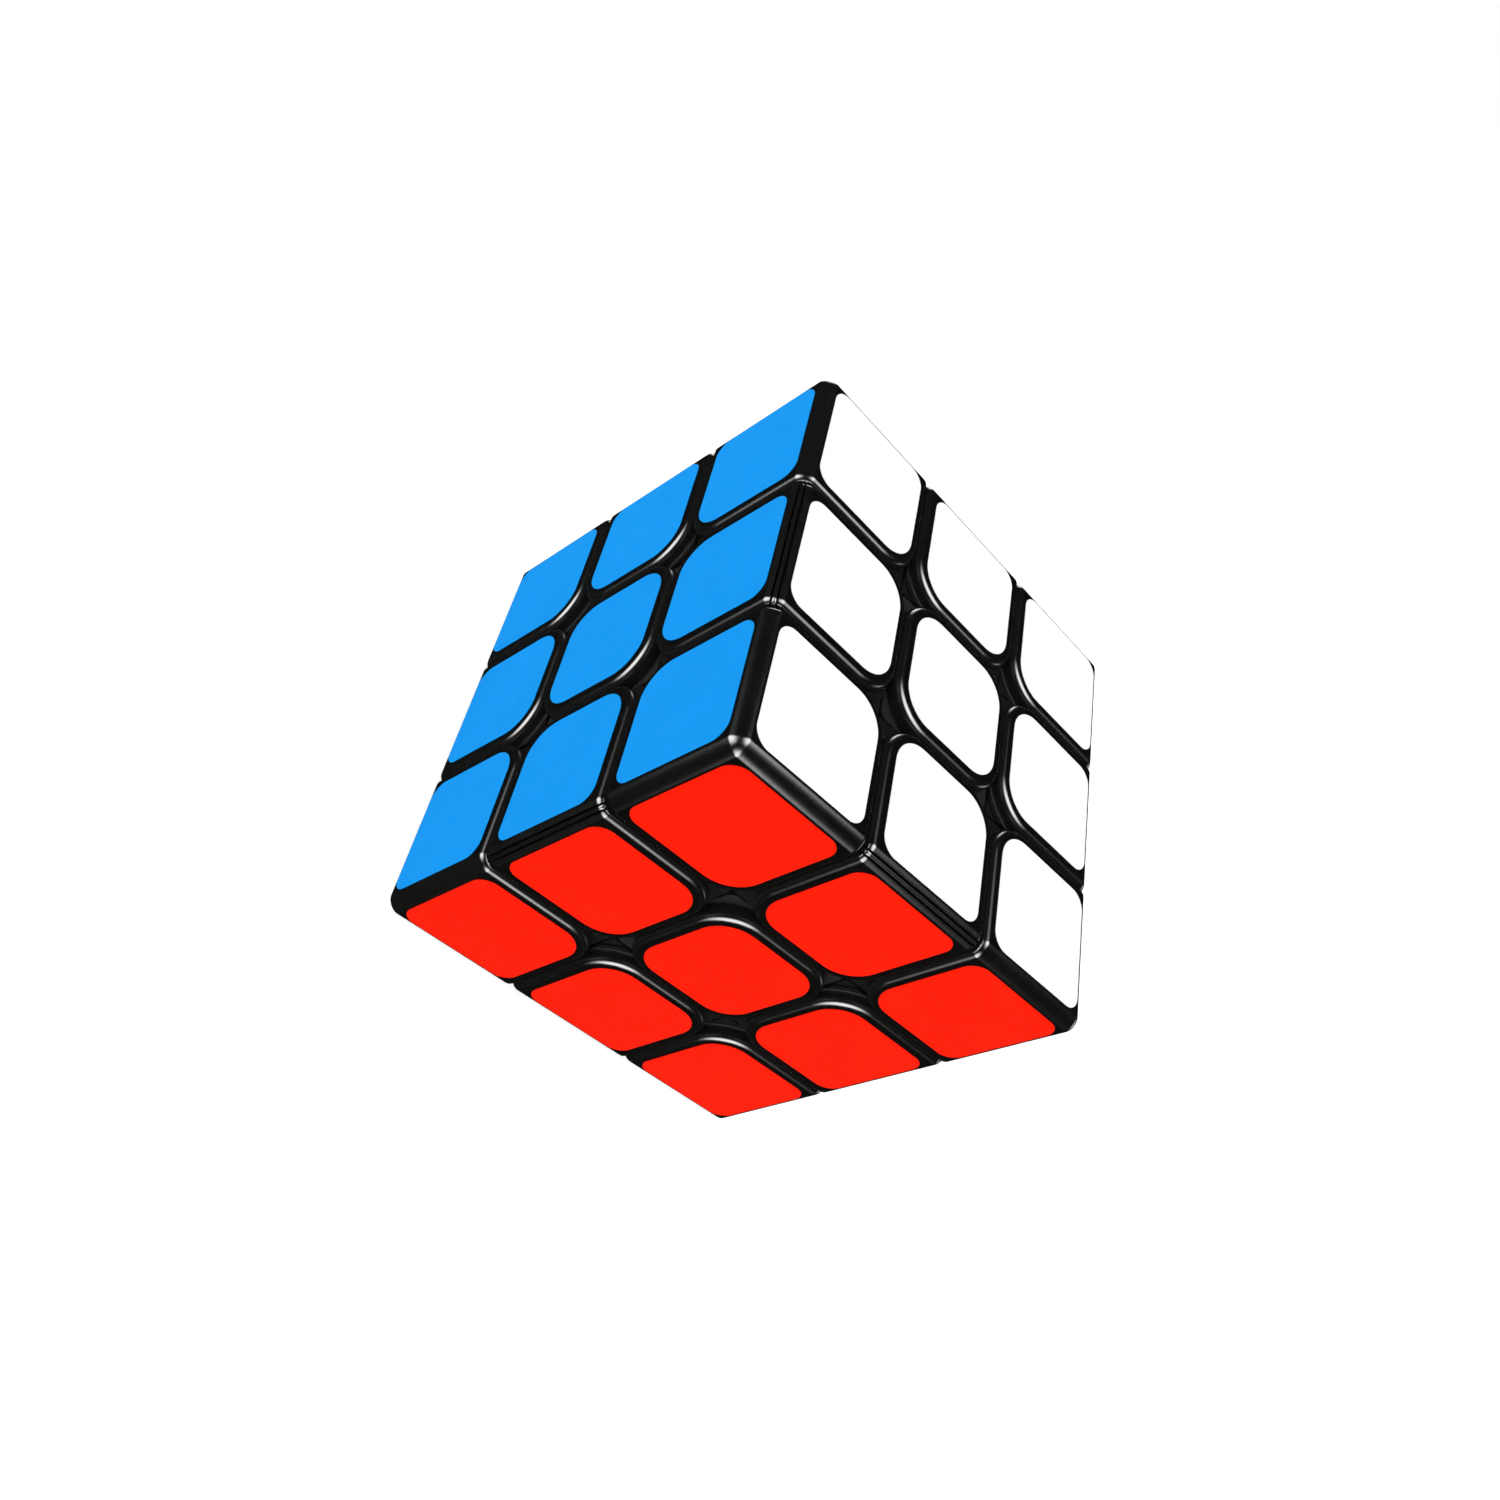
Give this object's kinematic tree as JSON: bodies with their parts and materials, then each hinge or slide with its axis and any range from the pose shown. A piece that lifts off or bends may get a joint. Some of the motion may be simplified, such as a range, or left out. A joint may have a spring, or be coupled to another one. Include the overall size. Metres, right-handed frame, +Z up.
{
  "type": "twisty puzzle cube",
  "caption": "Stickered three by three twisty puzzle cube whose face layers turn about a screwed and sprung core.",
  "frame": {"origin": "centre of the core, where the six turning axes cross, which is also the centre of the cube", "axes": "+Z up out of the white face, -Y out of the blue face, +X out of the red face; each face turns about its own axis"},
  "size_m": [0.056, 0.056, 0.056],
  "materials": {
    "body_plastic": "glossy moulded ABS",
    "core_plastic": "natural nylon",
    "screw_steel": "zinc plated",
    "spring_steel": "drawn spring wire",
    "washer_steel": "pressed",
    "sticker_white": "satin vinyl",
    "sticker_yellow": "satin vinyl",
    "sticker_blue": "satin vinyl",
    "sticker_green": "satin vinyl",
    "sticker_red": "satin vinyl",
    "sticker_orange": "satin vinyl"
  },
  "bodies": {
    "core": {"core": "core_plastic", "tension_screws": "screw_steel", "tension_springs": "spring_steel", "spring_washers": "washer_steel"},
    "centre_top_body": {"centre_top": "body_plastic", "stickers_centre_top": "sticker_white"},
    "centre_bottom_body": {"centre_bottom": "body_plastic", "stickers_centre_bottom": "sticker_yellow"},
    "centre_front_body": {"centre_front": "body_plastic", "stickers_centre_front": "sticker_blue"},
    "centre_back_body": {"centre_back": "body_plastic", "stickers_centre_back": "sticker_green"},
    "centre_left_body": {"centre_left": "body_plastic", "stickers_centre_left": "sticker_orange"},
    "centre_right_body": {"centre_right": "body_plastic", "stickers_centre_right": "sticker_red"},
    "edge_top_front_body": {"edge_top_front": "body_plastic", "stickers_edge_top_front": "sticker_white"},
    "edge_top_back_body": {"edge_top_back": "body_plastic", "stickers_edge_top_back": "sticker_white"},
    "edge_top_left_body": {"edge_top_left": "body_plastic", "stickers_edge_top_left": "sticker_white"},
    "edge_top_right_body": {"edge_top_right": "body_plastic", "stickers_edge_top_right": "sticker_white"},
    "edge_bottom_front_body": {"edge_bottom_front": "body_plastic", "stickers_edge_bottom_front": "sticker_yellow"},
    "edge_bottom_back_body": {"edge_bottom_back": "body_plastic", "stickers_edge_bottom_back": "sticker_yellow"},
    "edge_bottom_left_body": {"edge_bottom_left": "body_plastic", "stickers_edge_bottom_left": "sticker_yellow"},
    "edge_bottom_right_body": {"edge_bottom_right": "body_plastic", "stickers_edge_bottom_right": "sticker_yellow"},
    "edge_front_left_body": {"edge_front_left": "body_plastic", "stickers_edge_front_left": "sticker_blue"},
    "edge_front_right_body": {"edge_front_right": "body_plastic", "stickers_edge_front_right": "sticker_blue"},
    "edge_back_left_body": {"edge_back_left": "body_plastic", "stickers_edge_back_left": "sticker_green"},
    "edge_back_right_body": {"edge_back_right": "body_plastic", "stickers_edge_back_right": "sticker_green"},
    "corner_top_front_right_body": {"corner_top_front_right": "body_plastic", "stickers_corner_top_front_right": "sticker_white"},
    "corner_top_front_left_body": {"corner_top_front_left": "body_plastic", "stickers_corner_top_front_left": "sticker_white"},
    "corner_top_back_right_body": {"corner_top_back_right": "body_plastic", "stickers_corner_top_back_right": "sticker_white"},
    "corner_top_back_left_body": {"corner_top_back_left": "body_plastic", "stickers_corner_top_back_left": "sticker_white"},
    "corner_bottom_front_right_body": {"corner_bottom_front_right": "body_plastic", "stickers_corner_bottom_front_right": "sticker_yellow"},
    "corner_bottom_front_left_body": {"corner_bottom_front_left": "body_plastic", "stickers_corner_bottom_front_left": "sticker_yellow"},
    "corner_bottom_back_right_body": {"corner_bottom_back_right": "body_plastic", "stickers_corner_bottom_back_right": "sticker_yellow"},
    "corner_bottom_back_left_body": {"corner_bottom_back_left": "body_plastic", "stickers_corner_bottom_back_left": "sticker_yellow"}
  },
  "joints": [
    {"name": "top_turn", "type": "hinge", "parent": "core", "child": "centre_top_body", "pos_m": [0, 0, 0], "axis": [0, 0, 1], "continuous": true},
    {"name": "bottom_turn", "type": "hinge", "parent": "core", "child": "centre_bottom_body", "pos_m": [0, 0, 0], "axis": [0, 0, -1], "continuous": true},
    {"name": "front_turn", "type": "hinge", "parent": "core", "child": "centre_front_body", "pos_m": [0, 0, 0], "axis": [0, -1, 0], "range_deg": [-180, 180]},
    {"name": "back_turn", "type": "hinge", "parent": "core", "child": "centre_back_body", "pos_m": [0, 0, 0], "axis": [0, 1, 0], "range_deg": [-180, 180]},
    {"name": "left_turn", "type": "hinge", "parent": "core", "child": "centre_left_body", "pos_m": [0, 0, 0], "axis": [-1, 0, 0], "range_deg": [-180, 180]},
    {"name": "right_turn", "type": "hinge", "parent": "core", "child": "centre_right_body", "pos_m": [0, 0, 0], "axis": [1, 0, 0], "range_deg": [-180, 180]},
    {"name": "edge_top_front_turn", "type": "hinge", "parent": "centre_top_body", "child": "edge_top_front_body", "pos_m": [0, 0, 0], "axis": [0, -1, 0], "range_deg": [-180, 180]},
    {"name": "edge_top_back_turn", "type": "hinge", "parent": "centre_top_body", "child": "edge_top_back_body", "pos_m": [0, 0, 0], "axis": [0, 1, 0], "range_deg": [-180, 180]},
    {"name": "edge_top_left_turn", "type": "hinge", "parent": "centre_top_body", "child": "edge_top_left_body", "pos_m": [0, 0, 0], "axis": [-1, 0, 0], "range_deg": [-180, 180]},
    {"name": "edge_top_right_turn", "type": "hinge", "parent": "centre_top_body", "child": "edge_top_right_body", "pos_m": [0, 0, 0], "axis": [1, 0, 0], "range_deg": [-180, 180]},
    {"name": "edge_bottom_front_turn", "type": "hinge", "parent": "centre_bottom_body", "child": "edge_bottom_front_body", "pos_m": [0, 0, 0], "axis": [0, -1, 0], "range_deg": [-180, 180]},
    {"name": "edge_bottom_back_turn", "type": "hinge", "parent": "centre_bottom_body", "child": "edge_bottom_back_body", "pos_m": [0, 0, 0], "axis": [0, 1, 0], "range_deg": [-180, 180]},
    {"name": "edge_bottom_left_turn", "type": "hinge", "parent": "centre_bottom_body", "child": "edge_bottom_left_body", "pos_m": [0, 0, 0], "axis": [-1, 0, 0], "range_deg": [-180, 180]},
    {"name": "edge_bottom_right_turn", "type": "hinge", "parent": "centre_bottom_body", "child": "edge_bottom_right_body", "pos_m": [0, 0, 0], "axis": [1, 0, 0], "range_deg": [-180, 180]},
    {"name": "edge_front_left_turn", "type": "hinge", "parent": "centre_left_body", "child": "edge_front_left_body", "pos_m": [0, 0, 0], "axis": [0, -1, 0], "range_deg": [-180, 180]},
    {"name": "edge_front_right_turn", "type": "hinge", "parent": "centre_right_body", "child": "edge_front_right_body", "pos_m": [0, 0, 0], "axis": [0, -1, 0], "range_deg": [-180, 180]},
    {"name": "edge_back_left_turn", "type": "hinge", "parent": "centre_left_body", "child": "edge_back_left_body", "pos_m": [0, 0, 0], "axis": [0, 1, 0], "range_deg": [-180, 180]},
    {"name": "edge_back_right_turn", "type": "hinge", "parent": "centre_right_body", "child": "edge_back_right_body", "pos_m": [0, 0, 0], "axis": [0, 1, 0], "range_deg": [-180, 180]},
    {"name": "corner_top_front_right_turn", "type": "hinge", "parent": "edge_top_right_body", "child": "corner_top_front_right_body", "pos_m": [0, 0, 0], "axis": [0, -1, 0], "range_deg": [-180, 180]},
    {"name": "corner_top_front_left_turn", "type": "hinge", "parent": "edge_top_left_body", "child": "corner_top_front_left_body", "pos_m": [0, 0, 0], "axis": [0, -1, 0], "range_deg": [-180, 180]},
    {"name": "corner_top_back_right_turn", "type": "hinge", "parent": "edge_top_right_body", "child": "corner_top_back_right_body", "pos_m": [0, 0, 0], "axis": [0, 1, 0], "range_deg": [-180, 180]},
    {"name": "corner_top_back_left_turn", "type": "hinge", "parent": "edge_top_left_body", "child": "corner_top_back_left_body", "pos_m": [0, 0, 0], "axis": [0, 1, 0], "range_deg": [-180, 180]},
    {"name": "corner_bottom_front_right_turn", "type": "hinge", "parent": "edge_bottom_right_body", "child": "corner_bottom_front_right_body", "pos_m": [0, 0, 0], "axis": [0, -1, 0], "range_deg": [-180, 180]},
    {"name": "corner_bottom_front_left_turn", "type": "hinge", "parent": "edge_bottom_left_body", "child": "corner_bottom_front_left_body", "pos_m": [0, 0, 0], "axis": [0, -1, 0], "range_deg": [-180, 180]},
    {"name": "corner_bottom_back_right_turn", "type": "hinge", "parent": "edge_bottom_right_body", "child": "corner_bottom_back_right_body", "pos_m": [0, 0, 0], "axis": [0, 1, 0], "range_deg": [-180, 180]},
    {"name": "corner_bottom_back_left_turn", "type": "hinge", "parent": "edge_bottom_left_body", "child": "corner_bottom_back_left_body", "pos_m": [0, 0, 0], "axis": [0, 1, 0], "range_deg": [-180, 180]}
  ],
  "couplings": [
    {"joint": "edge_top_front_turn", "follows": "front_turn", "ratio": 1},
    {"joint": "edge_top_back_turn", "follows": "back_turn", "ratio": 1},
    {"joint": "edge_top_left_turn", "follows": "left_turn", "ratio": 1},
    {"joint": "edge_top_right_turn", "follows": "right_turn", "ratio": 1},
    {"joint": "edge_bottom_front_turn", "follows": "front_turn", "ratio": 1},
    {"joint": "edge_bottom_back_turn", "follows": "back_turn", "ratio": 1},
    {"joint": "edge_bottom_left_turn", "follows": "left_turn", "ratio": 1},
    {"joint": "edge_bottom_right_turn", "follows": "right_turn", "ratio": 1},
    {"joint": "edge_front_left_turn", "follows": "front_turn", "ratio": 1},
    {"joint": "edge_front_right_turn", "follows": "front_turn", "ratio": 1},
    {"joint": "edge_back_left_turn", "follows": "back_turn", "ratio": 1},
    {"joint": "edge_back_right_turn", "follows": "back_turn", "ratio": 1},
    {"joint": "corner_top_front_right_turn", "follows": "front_turn", "ratio": 1},
    {"joint": "corner_top_front_left_turn", "follows": "front_turn", "ratio": 1},
    {"joint": "corner_top_back_right_turn", "follows": "back_turn", "ratio": 1},
    {"joint": "corner_top_back_left_turn", "follows": "back_turn", "ratio": 1},
    {"joint": "corner_bottom_front_right_turn", "follows": "front_turn", "ratio": 1},
    {"joint": "corner_bottom_front_left_turn", "follows": "front_turn", "ratio": 1},
    {"joint": "corner_bottom_back_right_turn", "follows": "back_turn", "ratio": 1},
    {"joint": "corner_bottom_back_left_turn", "follows": "back_turn", "ratio": 1}
  ]
}
